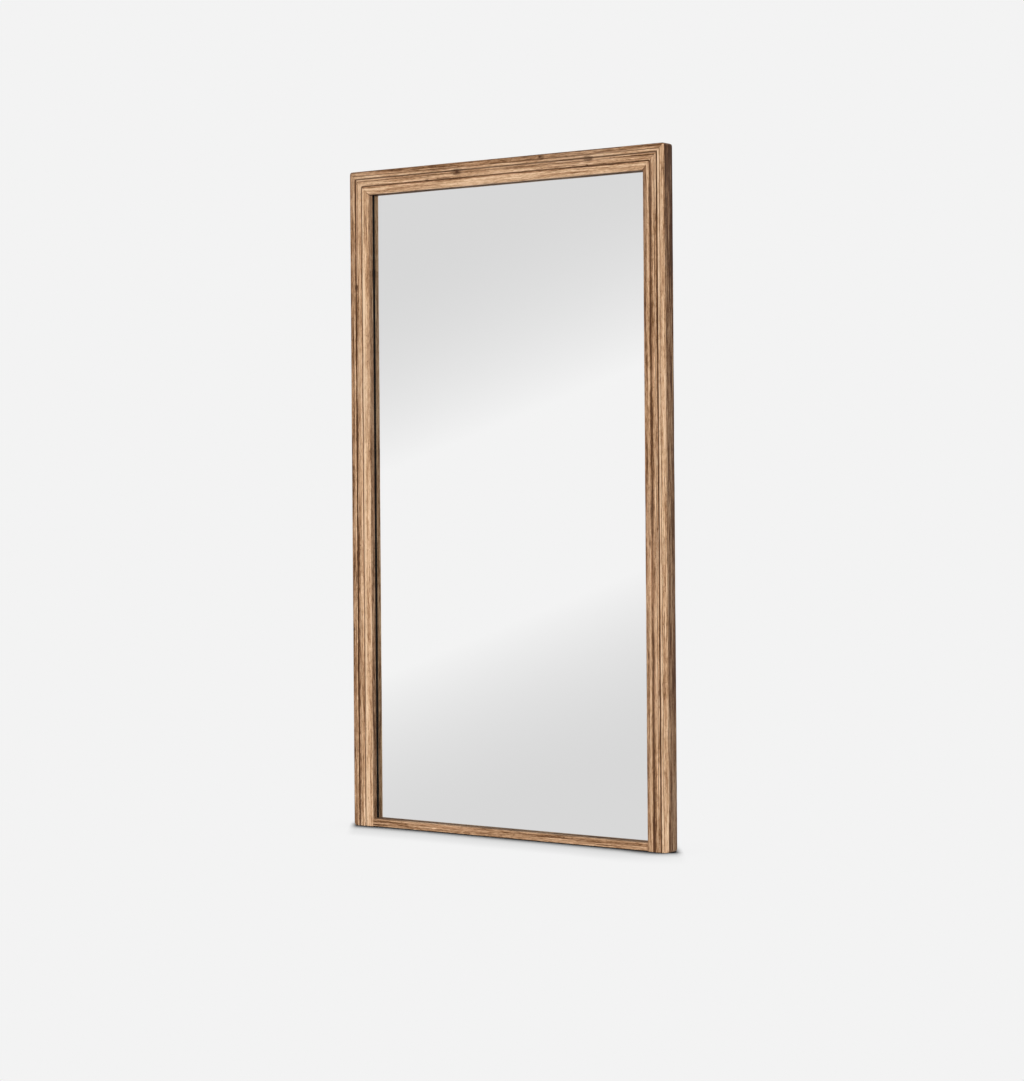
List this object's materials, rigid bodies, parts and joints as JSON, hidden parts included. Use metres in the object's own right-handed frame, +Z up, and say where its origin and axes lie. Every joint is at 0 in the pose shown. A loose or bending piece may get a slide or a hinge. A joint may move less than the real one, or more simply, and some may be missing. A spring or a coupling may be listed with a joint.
{
  "type": "leaning floor mirror",
  "caption": "Tall leaning floor mirror: deep-set glass in a reeded, mitred reclaimed-wood frame that stands on its stiles, with D-ring wall anchors and bumpers behind",
  "frame": {"origin": "on the floor, under the middle of the whole object's box", "axes": "+Z up, +Y from the glass towards the wall behind, +X to the right as one faces the glass"},
  "size_m": [1.219, 0.0582, 2.134],
  "materials": {
    "frame_wood": "weathered reclaimed pine, matte",
    "joinery_wood": "bare beech",
    "mirror": "silvered float glass",
    "glazing_tape": "black closed-cell foam",
    "rubber": "black rubber",
    "backing_board": "bare plywood",
    "screw_steel": "zinc plated",
    "plate_steel": "zinc plated",
    "ring_steel": "zinc plated wire"
  },
  "bodies": {
    "frame": {"left_stile": "frame_wood", "right_stile": "frame_wood", "top_rail": "frame_wood", "bottom_rail": "frame_wood", "mitre_biscuits_left": "joinery_wood", "mitre_biscuits_right": "joinery_wood", "rail_dowels_left": "joinery_wood", "rail_dowels_right": "joinery_wood", "mirror_glass": "mirror", "glazing_tape_left": "glazing_tape", "glazing_tape_right": "glazing_tape", "glazing_tape_top": "glazing_tape", "glazing_tape_bottom": "glazing_tape", "setting_blocks": "rubber", "backing_board": "backing_board", "backing_screws": "screw_steel", "corner_plate_screws": "screw_steel", "hanger_screws": "screw_steel", "corner_plate_left": "plate_steel", "corner_plate_right": "plate_steel", "hanger_strap_left": "plate_steel", "hanger_strap_right": "plate_steel", "wall_bumper_left": "rubber", "wall_bumper_right": "rubber"},
    "ring_left": {"hanger_ring_left": "ring_steel"},
    "ring_right": {"hanger_ring_right": "ring_steel"}
  },
  "joints": [
    {"name": "ring_left_swing", "type": "hinge", "parent": "frame", "child": "ring_left", "pos_m": [-0.581, 0.0248, 1.704], "axis": [1, 0, 0], "range_deg": [0, 180]},
    {"name": "ring_right_swing", "type": "hinge", "parent": "frame", "child": "ring_right", "pos_m": [0.581, 0.0248, 1.704], "axis": [1, 0, 0], "range_deg": [0, 180]}
  ]
}
